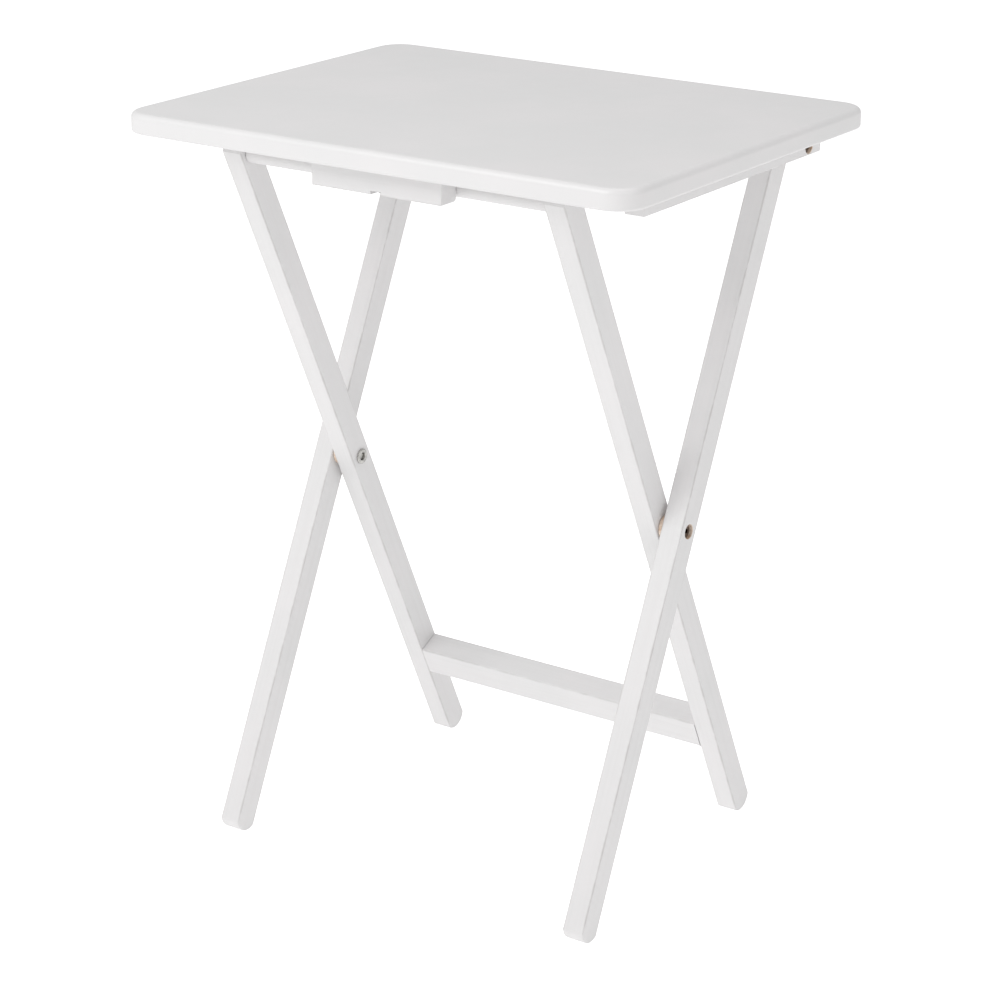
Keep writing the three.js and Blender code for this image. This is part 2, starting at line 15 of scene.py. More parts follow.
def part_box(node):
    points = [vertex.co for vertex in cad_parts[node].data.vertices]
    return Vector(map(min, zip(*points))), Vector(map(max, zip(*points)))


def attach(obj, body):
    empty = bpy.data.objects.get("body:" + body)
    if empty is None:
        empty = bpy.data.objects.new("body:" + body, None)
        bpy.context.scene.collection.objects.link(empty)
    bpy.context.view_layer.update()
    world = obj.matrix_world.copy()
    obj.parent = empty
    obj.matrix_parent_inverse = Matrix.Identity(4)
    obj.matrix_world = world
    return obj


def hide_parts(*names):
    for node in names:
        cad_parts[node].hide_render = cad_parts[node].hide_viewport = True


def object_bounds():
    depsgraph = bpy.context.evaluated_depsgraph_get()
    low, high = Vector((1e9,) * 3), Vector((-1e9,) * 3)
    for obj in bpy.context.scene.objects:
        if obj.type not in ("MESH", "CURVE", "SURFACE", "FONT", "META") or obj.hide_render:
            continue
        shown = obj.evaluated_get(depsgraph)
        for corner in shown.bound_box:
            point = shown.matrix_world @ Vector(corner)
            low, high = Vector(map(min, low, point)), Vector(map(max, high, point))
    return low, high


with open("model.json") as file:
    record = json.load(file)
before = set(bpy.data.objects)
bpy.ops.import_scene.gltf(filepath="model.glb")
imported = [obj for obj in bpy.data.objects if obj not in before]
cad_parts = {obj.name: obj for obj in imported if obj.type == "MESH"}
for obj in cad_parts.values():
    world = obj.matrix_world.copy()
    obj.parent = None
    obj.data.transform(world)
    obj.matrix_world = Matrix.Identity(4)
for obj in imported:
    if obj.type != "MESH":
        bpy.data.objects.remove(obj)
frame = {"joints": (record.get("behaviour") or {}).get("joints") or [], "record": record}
CAD_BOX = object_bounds()

# ---- Places, from the frame ----

BODIES = frame["record"]["behaviour"]["bodies"]
BODY_OF = {node: body for body, nodes in BODIES.items() for node in nodes}
PIVOT = {joint["name"]: Vector(joint["pos_m"]) for joint in frame["joints"]}
CROSSING = PIVOT["leg_scissor"]
TOP_PIVOT = PIVOT["tray_follow"]
UP_THE_LEG = TOP_PIVOT - CROSSING
TILT = math.atan2(UP_THE_LEG.y, UP_THE_LEG.z)
LEG_HALF = UP_THE_LEG.length
RAIL_CENTRE = Vector((0, 2 * CROSSING.y - TOP_PIVOT.y, TOP_PIVOT.z))
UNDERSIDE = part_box("tabletop")[0].z
LEG_WIDTH = (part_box("inner_leg_right")[1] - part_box("inner_leg_right")[0]).x
SIDES = (("left", -1), ("right", 1))

# ---- Sizes that a box doesn't give ----

QUARTER = math.pi / 2
SEAT = 0.0003  # between pieces that touch

TOP_CORNER = 0.025
TOP_UPPER_ROUND = 0.005
TOP_LOWER_ROUND = 0.0025

LEG_DEPTH = 0.023
LEG_ARRIS = 0.001
LEG_END_RADIUS = 0.0135

CLEAT_ARRIS = 0.0012
BLOCK_ARRIS = 0.001
BLOCK_REAR_ROUND = 0.003
GROOVE_WIDTH = 0.010
GROOVE_DEPTH = 0.003
STRETCHER_HEIGHT = 0.0285
STRETCHER_RISE = 0.0685
STRETCHER_ARRIS = 0.0015

DOWEL_RADIUS = 0.004
DOWEL_SPACING = 0.014
DOWEL_IN_LEG = 0.012
DOWEL_IN_STRETCHER = 0.016
DOWEL_CHAMFER = 0.0008

RAIL_RADIUS = 0.0075
TENON_RADIUS = 0.005
TENON_LENGTH = 0.012
NAIL_RADIUS = 0.0008
NAIL_LENGTH = 0.014
NAIL_TIP = 0.002
NAIL_RECESS = 0.001

CLIP_CLEARANCE = 0.0005
CLIP_THICKNESS = 0.0008
CLIP_WRAP = 205
CLIP_LIP = 0.004
CLIP_LIP_FLARE = 30

BOLT_RADIUS = 0.003
BOLT_HEAD_RADIUS = 0.005
BOLT_HEAD_HEIGHT = 0.0034
BOLT_HEAD_ROUND = 0.0008
BOLT_POINT = 0.0005
SOCKET_ACROSS = 0.004
SOCKET_DEPTH = 0.002
COUNTERBORE_RADIUS = 0.0059
COUNTERBORE_DEPTH = 0.006
NUT_FLANGE_RADIUS = 0.0065
NUT_FLANGE_THICKNESS = 0.0016
NUT_BARREL_RADIUS = 0.0042
NUT_BARREL_LENGTH = 0.012
NUT_EDGE = 0.0004
SPACER_RADIUS = 0.0105
SPACER_EDGE = 0.0004
BLUNT_TIP = 0.125  # of the radius behind it
MID_ROUND = 0.3  # how far in a round's middle lies, of its size

SCREW_RADIUS = 0.00175
SCREW_HEAD_RADIUS = 0.0037
SCREW_HEAD_HEIGHT = 0.0024
SCREW_TIP = 0.004
SCREW_RECESS = 0.0012
SCREW_BITE = 0.011
CLIP_SCREW_LENGTH = 0.012
CLIP_SCREW_HEAD = 0.0014
CLIP_SCREW_ROUND = 0.0005
CROSS_ARM = 0.0042
CROSS_WIDTH = 0.0009
CROSS_DEPTH = 0.001

RIM_FLARE = 0.0004
OVERSHOOT = 0.002
ROUND_SIDES = 64
SMALL_SIDES = 32
END_STEPS = 14
TOP_CORNER_STEPS = 24
UPPER_ROUND_STEPS = 10
LOWER_ROUND_STEPS = 6
BLOCK_ROUND_STEPS = 8
ARRIS_STEPS = 6
SPRING_STEPS = 36
HEXAGON = 6
FLAT_WITHIN = 1.0  # degrees
NEAR = 1e-5  # for corners at the same height or depth
LONG_ENOUGH = 1e-4  # for an edge that runs along an axis
MERGE_WITHIN = 1e-6
FACING = 0.99  # for a face that looks along an axis

# ---- Camera ----

CAMERA_AZIMUTH = 34.54
CAMERA_ELEVATION = 17.74
CAMERA_ROLL = 0.09
CAMERA_DISTANCE = 2.4055
CAMERA_AIM = Vector((-0.0071, 0.0145, 0.3806))
CAMERA_LENS = 103.32
CAMERA_SHIFT_Y = -0.1


def build_camera():
    across = math.radians(CAMERA_AZIMUTH)
    up = math.radians(CAMERA_ELEVATION)
    back = Vector((math.sin(across) * math.cos(up), -math.cos(across) * math.cos(up), math.sin(up)))
    data = bpy.data.cameras.new("camera")
    data.lens = CAMERA_LENS
    data.shift_y = CAMERA_SHIFT_Y
    camera = bpy.data.objects.new("camera", data)
    camera.location = CAMERA_AIM + back * CAMERA_DISTANCE
    level = (-back).to_track_quat("-Z", "Y").to_matrix()
    roll = Matrix.Rotation(math.radians(CAMERA_ROLL), 3, "Z")
    camera.rotation_euler = (level @ roll).to_euler()
    bpy.context.scene.collection.objects.link(camera)
    bpy.context.scene.camera = camera


# ---- Shader node groups ----

NIB_SCALE = 130.0
NIB_SIZE = 0.05
CLOUD_SCALE = 9.0
GLOSS_SCALE = 38.0
STREAK_STRETCH = (260.0, 260.0, 6.0)
PORE_STRETCH = (1500.0, 1500.0, 70.0)
SCRATCH_STRETCH = (900.0, 6000.0, 6000.0)
ARRIS_REACH = 0.0019
ARRIS_BREAK_SCALE = 60.0


def new_group(name, inputs, outputs):
    group = bpy.data.node_groups.new(name, "ShaderNodeTree")
    for label, kind, value in inputs:
        socket = group.interface.new_socket(label, in_out="INPUT", socket_type=kind)
        if value is not None:
            socket.default_value = value
    for label, kind in outputs:
        group.interface.new_socket(label, in_out="OUTPUT", socket_type=kind)
    start = group.nodes.new("NodeGroupInput")
    end = group.nodes.new("NodeGroupOutput")
    return group, start.outputs, end.inputs


class Wiring:
    """Adds nodes to one node tree and joins them up."""

    def __init__(self, tree):
        self.tree = tree

    def put(self, socket, value):
        if isinstance(value, bpy.types.NodeSocket):
            self.tree.links.new(value, socket)
        else:
            socket.default_value = value

    def node(self, kind, settings=None, **inputs):
        made = self.tree.nodes.new(kind)
        for key, value in (settings or {}).items():
            setattr(made, key, value)
        for key, value in inputs.items():
            self.put(made.inputs[key.replace("_", " ")], value)
        return made

    def math(self, operation, first, second=0.0, clamp=False):
        made = self.tree.nodes.new("ShaderNodeMath")
        made.operation = operation
        made.use_clamp = clamp
        self.put(made.inputs[0], first)
        self.put(made.inputs[1], second)
        return made.outputs[0]

    def ramp(self, value, low, high, to_low=0.0, to_high=1.0):
        made = self.tree.nodes.new("ShaderNodeMapRange")
        made.interpolation_type = "SMOOTHSTEP"
        for key, put in (("Value", value), ("From Min", low), ("From Max", high)):
            self.put(made.inputs[key], put)
        self.put(made.inputs["To Min"], to_low)
        self.put(made.inputs["To Max"], to_high)
        return made.outputs[0]

    def noise(self, vector, scale, detail=3.0, roughness=0.5):
        made = self.node("ShaderNodeTexNoise", Vector=vector, Scale=scale, Detail=detail, Roughness=roughness)
        return made.outputs["Fac"]

    def stretched(self, vector, scale):
        made = self.tree.nodes.new("ShaderNodeVectorMath")
        made.operation = "MULTIPLY"
        self.put(made.inputs[0], vector)
        made.inputs[1].default_value = scale
        return made.outputs[0]

    def blended(self, fac, first, second):
        made = self.tree.nodes.new("ShaderNodeMix")
        made.data_type = "RGBA"
        self.put(made.inputs[0], fac)
        self.put(made.inputs[6], first)
        self.put(made.inputs[7], second)
        return made.outputs[2]

    def grouped(self, group, **inputs):
        made = self.tree.nodes.new("ShaderNodeGroup")
        made.node_tree = group
        for key, value in inputs.items():
            self.put(made.inputs[key.replace("_", " ")], value)
        return made.outputs


def make_film_group():
    """The skin of a sprayed paint film: fine ripple, a soft cloudiness and a few nibs of dust."""
    group, start, end = new_group(
        "paint_film",
        [("Vector", "NodeSocketVector", None), ("Ripple Scale", "NodeSocketFloat", 420.0)],
        [("Height", "NodeSocketFloat"), ("Cloud", "NodeSocketFloat"), ("Gloss", "NodeSocketFloat")],
    )
    w = Wiring(group)
    ripple = w.noise(start["Vector"], start["Ripple Scale"], 2.0)
    finer = w.noise(start["Vector"], w.math("MULTIPLY", start["Ripple Scale"], 4.0), 2.0)
    nibs = w.node("ShaderNodeTexVoronoi", Vector=start["Vector"], Scale=NIB_SCALE).outputs["Distance"]
    bump = w.math("ADD", ripple, w.math("MULTIPLY", finer, 0.25))
    w.put(end["Height"], w.math("ADD", bump, w.ramp(nibs, NIB_SIZE, 0.0, 0.0, 0.6)))
    w.put(end["Cloud"], w.noise(start["Vector"], CLOUD_SCALE, 4.0))
    w.put(end["Gloss"], w.noise(start["Vector"], GLOSS_SCALE, 3.0))
    return group


def make_grain_group():
    """Straight grain along Z: long streaks, and short pores that a thin finish doesn't fill."""
    group, start, end = new_group(
        "straight_grain",
        [("Vector", "NodeSocketVector", None), ("Pore Scale", "NodeSocketFloat", 1.0)],
        [("Height", "NodeSocketFloat"), ("Streak", "NodeSocketFloat"), ("Pore", "NodeSocketFloat")],
    )
    w = Wiring(group)
    streak = w.noise(w.stretched(start["Vector"], STREAK_STRETCH), 1.0, 4.0, 0.6)
    pores = w.noise(w.stretched(start["Vector"], PORE_STRETCH), start["Pore Scale"], 2.0)
    pore = w.ramp(pores, 0.60, 0.72)
    w.put(end["Streak"], streak)
    w.put(end["Pore"], pore)
    w.put(end["Height"], w.math("SUBTRACT", streak, w.math("MULTIPLY", pore, 0.5)))
    return group


def make_arris_shade_group():
    """A mask along the four long arrises of a bar, from its half sizes across X and Y, where painted shade
    darkens the paint.
    """
    group, start, end = new_group(
        "painted_arris_shade",
        [
            ("Vector", "NodeSocketVector", None),
            ("Half Width", "NodeSocketFloat", 0.009),
            ("Half Depth", "NodeSocketFloat", 0.011),
            ("Reach", "NodeSocketFloat", ARRIS_REACH),
        ],
        [("Mask", "NodeSocketFloat")],
    )
    w = Wiring(group)
    apart = w.node("ShaderNodeSeparateXYZ", Vector=start["Vector"])
    across = w.math("SUBTRACT", start["Half Width"], w.math("ABSOLUTE", apart.outputs["X"]))
    deep = w.math("SUBTRACT", start["Half Depth"], w.math("ABSOLUTE", apart.outputs["Y"]))
    uneven = w.ramp(w.noise(start["Vector"], ARRIS_BREAK_SCALE, 3.0), 0.3, 0.7, 0.5, 1.0)
    reach = w.math("MULTIPLY", start["Reach"], uneven)
    w.put(end["Mask"], w.ramp(w.math("ADD", across, deep), reach, 0.0))
    return group


def make_wear_group():
    """Uneven handling and tarnish: soft patches broken up by fine scratches."""
    group, start, end = new_group(
        "handling",
        [("Vector", "NodeSocketVector", None), ("Patch Scale", "NodeSocketFloat", 200.0)],
        [("Patch", "NodeSocketFloat"), ("Scratch", "NodeSocketFloat")],
    )
    w = Wiring(group)
    w.put(end["Patch"], w.ramp(w.noise(start["Vector"], start["Patch Scale"], 5.0, 0.65), 0.4, 0.7))
    fine = w.noise(w.stretched(start["Vector"], SCRATCH_STRETCH), 1.0, 2.0)
    w.put(end["Scratch"], w.ramp(fine, 0.55, 0.7))
    return group


FILM = make_film_group()
GRAIN = make_grain_group()
# the mask for the painted shade along the arrises
ARRIS = make_arris_shade_group()
HANDLING = make_wear_group()

# ---- Materials ----

PAINT_WHITE = (0.800, 0.786, 0.788, 1)
PAINT_COOL = (0.778, 0.772, 0.772, 1)
# a grey that the grain shows through in, and that also paints shade along the arrises
PAINT_GRAIN_AND_ARRIS_SHADE = (0.540, 0.525, 0.515, 1)
BEECH = (0.84, 0.71, 0.60, 1)
BEECH_DARK = (0.62, 0.45, 0.33, 1)
ZINC = (0.62, 0.61, 0.585, 1)
ZINC_DULL = (0.40, 0.395, 0.38, 1)
# dark brown for the bolt heads: partly browned metal, partly painted shade deep in the counterbores
HEAD_BROWN_AND_SHADE = (0.16, 0.115, 0.09, 1)
HEAD_BROWN_AND_SHADE_DULL = (0.07, 0.05, 0.04, 1)
SPRING = (0.30, 0.30, 0.31, 1)
SPRING_DARK = (0.13, 0.13, 0.135, 1)

BOARD_RIPPLE = 330.0
BAR_RIPPLE = 520.0
CLOUD_LOW = 0.35
CLOUD_HIGH = 0.65
GLOSS_LOW = 0.3
GLOSS_HIGH = 0.7
# how far the painted shade darkens the arrises
ARRIS_SHADE_STRENGTH = 0.85
GRAIN_SHOWING = 0.07
PORE_DARKENING = 0.6
BOARD_RELIEF = 0.00004
BAR_RELIEF = 0.00006
WOOD_RELIEF = 0.00012
SCRATCH_RELIEF = 0.00002


def new_material(name, middle=(0, 0, 0), turn=0.0, way=(0, 0, 0)):
    """A material whose pattern is centred at middle, turned by way and then leaned by turn about X."""
    material = bpy.data.materials.new(name)
    material.use_nodes = True
    w = Wiring(material.node_tree)
    surface = material.node_tree.nodes["Principled BSDF"]
    place = w.node("ShaderNodeTexCoord").outputs["Object"]
    mapping = w.node("ShaderNodeMapping", {"vector_type": "TEXTURE"}, Vector=place)
    mapping.inputs["Location"].default_value = middle
    turned_by = Matrix.Rotation(turn, 3, "X") @ Euler(way).to_matrix()
    mapping.inputs["Rotation"].default_value = turned_by.to_euler()
    return material, w, surface, mapping.outputs["Vector"]


def bumped(w, surface, height, distance, strength=1.0):
    bump = w.node("ShaderNodeBump", Height=height, Distance=distance, Strength=strength)
    w.put(surface.inputs["Normal"], bump.outputs["Normal"])


def make_board_paint():
    """Satin paint sprayed on a sanded board: no grain, a fine ripple and a slightly uneven gloss."""
    material, w, surface, place = new_material("board_paint")
    film = w.grouped(FILM, Vector=place, Ripple_Scale=BOARD_RIPPLE)
    cloud = w.ramp(film["Cloud"], CLOUD_LOW, CLOUD_HIGH)
    w.put(surface.inputs["Base Color"], w.blended(cloud, PAINT_WHITE, PAINT_COOL))
    w.put(surface.inputs["Roughness"], w.ramp(film["Gloss"], GLOSS_LOW, GLOSS_HIGH, 0.30, 0.38))
    bumped(w, surface, film["Height"], BOARD_RELIEF)
    return material


def make_bar_paint(name, middle, turn, half_width, half_depth, way=(0, 0, 0)):
    """Satin paint on a planed wooden bar: grain shows faintly, and painted shade darkens the arrises."""
    material, w, surface, place = new_material(name, middle, turn, way)
    film = w.grouped(FILM, Vector=place, Ripple_Scale=BAR_RIPPLE)
    grain = w.grouped(GRAIN, Vector=place)
    arris = w.grouped(ARRIS, Vector=place, Half_Width=half_width, Half_Depth=half_depth)
    body = w.blended(w.ramp(film["Cloud"], CLOUD_LOW, CLOUD_HIGH), PAINT_WHITE, PAINT_COOL)
    grained = w.blended(w.ramp(grain["Streak"], 0.62, 0.3, 0.0, GRAIN_SHOWING), body, PAINT_GRAIN_AND_ARRIS_SHADE)
    # painted shade: the arrises are darkened where the bevels turn away from the light
    colour = w.blended(w.math("MULTIPLY", arris["Mask"], ARRIS_SHADE_STRENGTH), grained, PAINT_GRAIN_AND_ARRIS_SHADE)
    w.put(surface.inputs["Base Color"], colour)
    w.put(surface.inputs["Roughness"], w.ramp(film["Gloss"], GLOSS_LOW, GLOSS_HIGH, 0.34, 0.46))
    height = w.math("ADD", w.math("MULTIPLY", film["Height"], 0.5), w.math("MULTIPLY", grain["Height"], 0.8))
    bumped(w, surface, height, BAR_RELIEF)
    return material


def make_bare_wood(name, middle, way=(0, 0, 0)):
    """Unfinished beech, with dark flecks along the grain and a dry surface."""
    material, w, surface, place = new_material(name, middle, 0.0, way)
    grain = w.grouped(GRAIN, Vector=place, Pore_Scale=1.4)
    wood = w.blended(w.ramp(grain["Streak"], 0.35, 0.65), BEECH_DARK, BEECH)
    flecks = w.math("MULTIPLY", grain["Pore"], PORE_DARKENING)
    w.put(surface.inputs["Base Color"], w.blended(flecks, wood, BEECH_DARK))
    w.put(surface.inputs["Roughness"], w.ramp(grain["Streak"], 0.3, 0.7, 0.78, 0.62))
    bumped(w, surface, grain["Height"], WOOD_RELIEF)
    return material


def make_metal(name, bright, dull, smooth, rough, patch_scale=200.0):
    material, w, surface, place = new_material(name)
    worn = w.grouped(HANDLING, Vector=place, Patch_Scale=patch_scale)
    w.put(surface.inputs["Base Color"], w.blended(worn["Patch"], bright, dull))
    w.put(surface.inputs["Roughness"], w.ramp(worn["Patch"], 0.0, 1.0, smooth, rough))
    surface.inputs["Metallic"].default_value = 1.0
    bumped(w, surface, worn["Scratch"], SCRATCH_RELIEF)
    return material


BOARD_PAINT = make_board_paint()
RAW_WOOD = make_bare_wood("bare_beech", CROSSING, (0, QUARTER, 0))
ZINC_STEEL = make_metal("zinc_plate", ZINC, ZINC_DULL, smooth=0.24, rough=0.42)
# the bolt heads' metal: browned, and darkened further as painted shade deep in the counterbores
HEAD_STEEL_AND_SHADE = make_metal("bolt_head_brown_and_shade", HEAD_BROWN_AND_SHADE, HEAD_BROWN_AND_SHADE_DULL, smooth=0.34, rough=0.52)
SPRING_STEEL = make_metal("spring_strip", SPRING, SPRING_DARK, smooth=0.28, rough=0.45, patch_scale=320.0)

# ---- Modelling, one operator at a time ----


def deselect():
    bpy.ops.object.select_all(action="DESELECT")


def open_mesh(piece, kind):
    bpy.context.view_layer.objects.active = piece
    bpy.ops.object.mode_set(mode="EDIT")
    bpy.ops.mesh.select_mode(type=kind)
    bpy.ops.mesh.select_all(action="DESELECT")
    return bmesh.from_edit_mesh(piece.data)


def close_mesh():
    bpy.ops.object.mode_set(mode="OBJECT")


def pick(piece, kind, test):
    """Opens the piece's mesh with only the faces or edges selected that pass the test."""
    shape = open_mesh(piece, kind)
    for part in shape.faces if kind == "FACE" else shape.edges:
        if test(part):
            part.select_set(True)
    bmesh.update_edit_mesh(piece.data)


def round_picked(size, steps):
    """Rounds the edges that were picked, and closes the mesh."""
    bpy.ops.mesh.bevel(offset=size, offset_type="OFFSET", segments=steps, profile=0.5, affect="EDGES")
    close_mesh()


def named(name, material):
    piece = bpy.context.object
    piece.name = name
    piece.data.name = name
    piece.data.materials.append(material)
    return piece


def block(name, low, high, material):
    deselect()
    middle = (Vector(low) + Vector(high)) / 2
    bpy.ops.mesh.primitive_cube_add(size=1, location=middle, scale=Vector(high) - Vector(low))
    piece = named(name, material)
    bpy.ops.object.transform_apply(location=True, rotation=True, scale=True)
    return piece


def turned(name, stations, material, sides=SMALL_SIDES):
    """A round piece up Z: a disc is drawn up and scaled at each pair of radius and height."""
    deselect()
    radius, height = stations[0]
    bpy.ops.mesh.primitive_circle_add(
        vertices=sides, radius=radius, fill_type="NGON", location=(0, 0, height)
    )
    piece = named(name, material)
    bpy.ops.object.transform_apply(location=True, rotation=True, scale=True)
    open_mesh(piece, "FACE")
    bpy.ops.mesh.select_all(action="SELECT")
    for next_radius, next_height in stations[1:]:
        bpy.ops.mesh.extrude_region_move(TRANSFORM_OT_translate={"value": (0, 0, next_height - height)})
        share = next_radius / radius
        bpy.ops.transform.resize(value=(share, share, 1), center_override=(0, 0, next_height))
        radius, height = next_radius, next_height
    bpy.ops.mesh.select_all(action="SELECT")
    bpy.ops.mesh.normals_make_consistent(inside=False)
    close_mesh()
    return piece


def laid_along_x(piece, side, place):
    """Turns a piece made up Z so that it points outward along X on its side, and puts it in place."""
    piece.rotation_euler = (0, side * QUARTER, 0)
    return put_at(piece, place)


def put_at(piece, place):
    piece.location = place
    return settled(piece)


def settled(piece):
    deselect()
    piece.select_set(True)
    bpy.context.view_layer.objects.active = piece
    bpy.ops.object.transform_apply(location=True, rotation=True, scale=True)
    return piece


def with_modifier(piece, kind, **settings):
    bpy.context.view_layer.objects.active = piece
    bpy.ops.object.modifier_add(type=kind)
    modifier = piece.modifiers[-1]
    for key, value in settings.items():
        setattr(modifier, key, value)
    bpy.ops.object.modifier_apply(modifier=modifier.name)


def softened(piece, width, segments=3, angle=28):
    with_modifier(
        piece, "BEVEL", width=width, segments=segments, limit_method="ANGLE", angle_limit=math.radians(angle)
    )
    return piece


def cut(piece, cutters):
    for cutter in cutters:
        with_modifier(
            piece, "BOOLEAN", object=cutter, operation="DIFFERENCE", solver="EXACT", material_mode="TRANSFER"
        )
        bpy.data.objects.remove(cutter)
    return piece


def polished(piece, angle=32):
    """Smooth shading that keeps flat faces flat and hard edges hard."""
    deselect()
    piece.select_set(True)
    bpy.context.view_layer.objects.active = piece
    bpy.ops.object.shade_smooth_by_angle(angle=math.radians(angle))
    with_modifier(piece, "WEIGHTED_NORMAL", keep_sharp=True, weight=80)
    return piece


def leaned(piece, turn):
    """From a frame's own directions, with the crossing at the origin, to where the frame stands."""
    piece.rotation_euler = (turn, 0, 0)
    return put_at(piece, CROSSING)


def stands_for(piece, node):
    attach(piece, BODY_OF[node])
    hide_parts(node)
    return piece


def bore(radius, deep, mouth, y, z, material=RAW_WOOD):
    """A cutter along X that goes from deep to a mouth, where it flares as a painted rim does."""
    side = 1 if mouth > deep else -1
    length = abs(mouth - deep)
    stations = [
        (radius, 0),
        (radius, length - RIM_FLARE),
        (radius + RIM_FLARE, length),
        (radius + RIM_FLARE, length + OVERSHOOT),
    ]
    return laid_along_x(turned("cutter", stations, material), side, (deep, y, z))


def through(radius, low, high, y, z, material=RAW_WOOD):
    cutter = turned("cutter", [(radius, low - OVERSHOOT), (radius, high + OVERSHOOT)], material)
    return laid_along_x(cutter, 1, (0, y, z))


# ---- Screws, from below ----


def screw_places():
    """Each screw into the board: its node, its x and y, and the bottom of what it holds."""
    places = []
    names = [n for n in BODY_OF if n.startswith(("cleat_screw", "block_screw"))]
    for node in sorted(names):
        low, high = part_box(node)
        holder = node.split("_screw_")[0]
        if holder == "cleat":
            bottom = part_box("cleat_" + node.split("_")[2])[0].z
        else:
            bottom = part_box("catch_block")[0].z
        places.append((node, (low.x + high.x) / 2, (low.y + high.y) / 2, bottom))
    return places


def screw_hole(low, high, x, y, material):
    """A cutter up Z that a screw's shank fits."""
    radius = SCREW_RADIUS + SEAT
    return put_at(turned("cutter", [(radius, low), (radius, high)], material), (x, y, 0))


def screw_cutters(held_by):
    cutters = []
    for node, x, y, bottom in screw_places():
        if node.startswith(held_by):
            head_top = bottom + SCREW_RECESS + SCREW_HEAD_HEIGHT + SEAT
            wide = SCREW_HEAD_RADIUS + SEAT
            stations = [
                (wide + RIM_FLARE, bottom - OVERSHOOT),
                (wide + RIM_FLARE, bottom),
                (wide, bottom + RIM_FLARE),
                (wide, head_top),
                (SCREW_RADIUS + SEAT, head_top),
                (SCREW_RADIUS + SEAT, UNDERSIDE + OVERSHOOT),
            ]
            cutters.append(put_at(turned("cutter", stations, RAW_WOOD), (x, y, 0)))
    return cutters


def cross_cutter(x, y, bottom):
    """The driver's cross: one arm, and a second at right angles joined to it."""
    low = Vector((x - CROSS_ARM / 2, y - CROSS_WIDTH / 2, bottom - OVERSHOOT))
    high = Vector((x + CROSS_ARM / 2, y + CROSS_WIDTH / 2, bottom + CROSS_DEPTH))
    arm = block("cutter", low, high, ZINC_STEEL)
    low = Vector((x - CROSS_WIDTH / 2, y - CROSS_ARM / 2, bottom - OVERSHOOT))
    high = Vector((x + CROSS_WIDTH / 2, y + CROSS_ARM / 2, bottom + CROSS_DEPTH))
    return [arm, block("cutter", low, high, ZINC_STEEL)]


def build_screws():
    plain = {"cleat": "bearer_screw", "block": "stop_block_screw"}
    for node, x, y, bottom in screw_places():
        head = bottom + SCREW_RECESS
        end = UNDERSIDE + SCREW_BITE
        stations = [
            (SCREW_HEAD_RADIUS, head),
            (SCREW_RADIUS, head + SCREW_HEAD_HEIGHT),
            (SCREW_RADIUS, end - SCREW_TIP),
            (SCREW_RADIUS * BLUNT_TIP, end),
        ]
        kind, place = node.split("_screw_")
        screw = put_at(turned(f"{plain[kind]}_{place}", stations, ZINC_STEEL), (x, y, 0))
        cut(screw, cross_cutter(x, y, head))
        stands_for(polished(screw), node)


# ---- The board ----


def build_board():
    low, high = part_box("tabletop")
    board = block("top_board", low, high, BOARD_PAINT)
    pick(board, "EDGE", lambda e: abs(e.verts[0].co.z - e.verts[1].co.z) > LONG_ENOUGH)
    round_picked(TOP_CORNER, TOP_CORNER_STEPS)
    upper = (high.z, TOP_UPPER_ROUND, UPPER_ROUND_STEPS)
    lower = (low.z, TOP_LOWER_ROUND, LOWER_ROUND_STEPS)
    for height, round_off, steps in (upper, lower):
        pick(board, "EDGE", lambda e: all(abs(v.co.z - height) < NEAR for v in e.verts))
        round_picked(round_off, steps)
    pilots = []
    for _, x, y, _ in screw_places():
        pilots.append(screw_hole(UNDERSIDE - OVERSHOOT, UNDERSIDE + SCREW_BITE + SEAT, x, y, RAW_WOOD))
    cut(board, pilots)
    stands_for(polished(board), "tabletop")


# ---- Bearers under the board's short sides ----


def build_cleat(label, side):
    node = f"cleat_{label}"
    low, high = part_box(node)
    middle = (low + high) / 2
    half = (high - low) / 2
    paint = make_bar_paint(f"bearer_paint_{label}", middle, 0.0, half.x, half.z, (QUARTER, 0, 0))
    bar = softened(block(f"bearer_{label}", low, high, paint), CLEAT_ARRIS)
    outside = max(abs(low.x), abs(high.x))
    y, z = TOP_PIVOT.y, TOP_PIVOT.z
    cut(bar, [
        through(BOLT_RADIUS + SEAT, low.x, high.x, y, z),
        bore(COUNTERBORE_RADIUS, side * (outside - COUNTERBORE_DEPTH), side * outside, y, z),
        *screw_cutters(f"cleat_screw_{label}"),
    ])
    stands_for(polished(bar), node)


# ---- Stop block under the front edge, and its spring ----


def build_stop_block():
    low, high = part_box("catch_block")
    middle = (low + high) / 2
    half = (high - low) / 2
    paint = make_bar_paint("stop_block_paint", middle, 0.0, half.z, half.y, (0, QUARTER, 0))
    bar = block("stop_block", low, high, paint)
    pick(bar, "EDGE", lambda e: all(v.co.y > high.y - NEAR and v.co.z < low.z + NEAR for v in e.verts))
    round_picked(BLOCK_REAR_ROUND, BLOCK_ROUND_STEPS)
    softened(bar, BLOCK_ARRIS)
    groove = block(
        "cutter",
        (-GROOVE_WIDTH / 2, low.y - OVERSHOOT, low.z - OVERSHOOT),
        (GROOVE_WIDTH / 2, high.y + OVERSHOOT, low.z + GROOVE_DEPTH),
        paint,
    )
    roof = low.z + GROOVE_DEPTH
    hole = screw_hole(roof - SEAT, roof + CLIP_SCREW_LENGTH, 0, middle.y, RAW_WOOD)
    cut(bar, [groove, hole, *screw_cutters("block_screw")])
    stands_for(polished(bar), "catch_block")


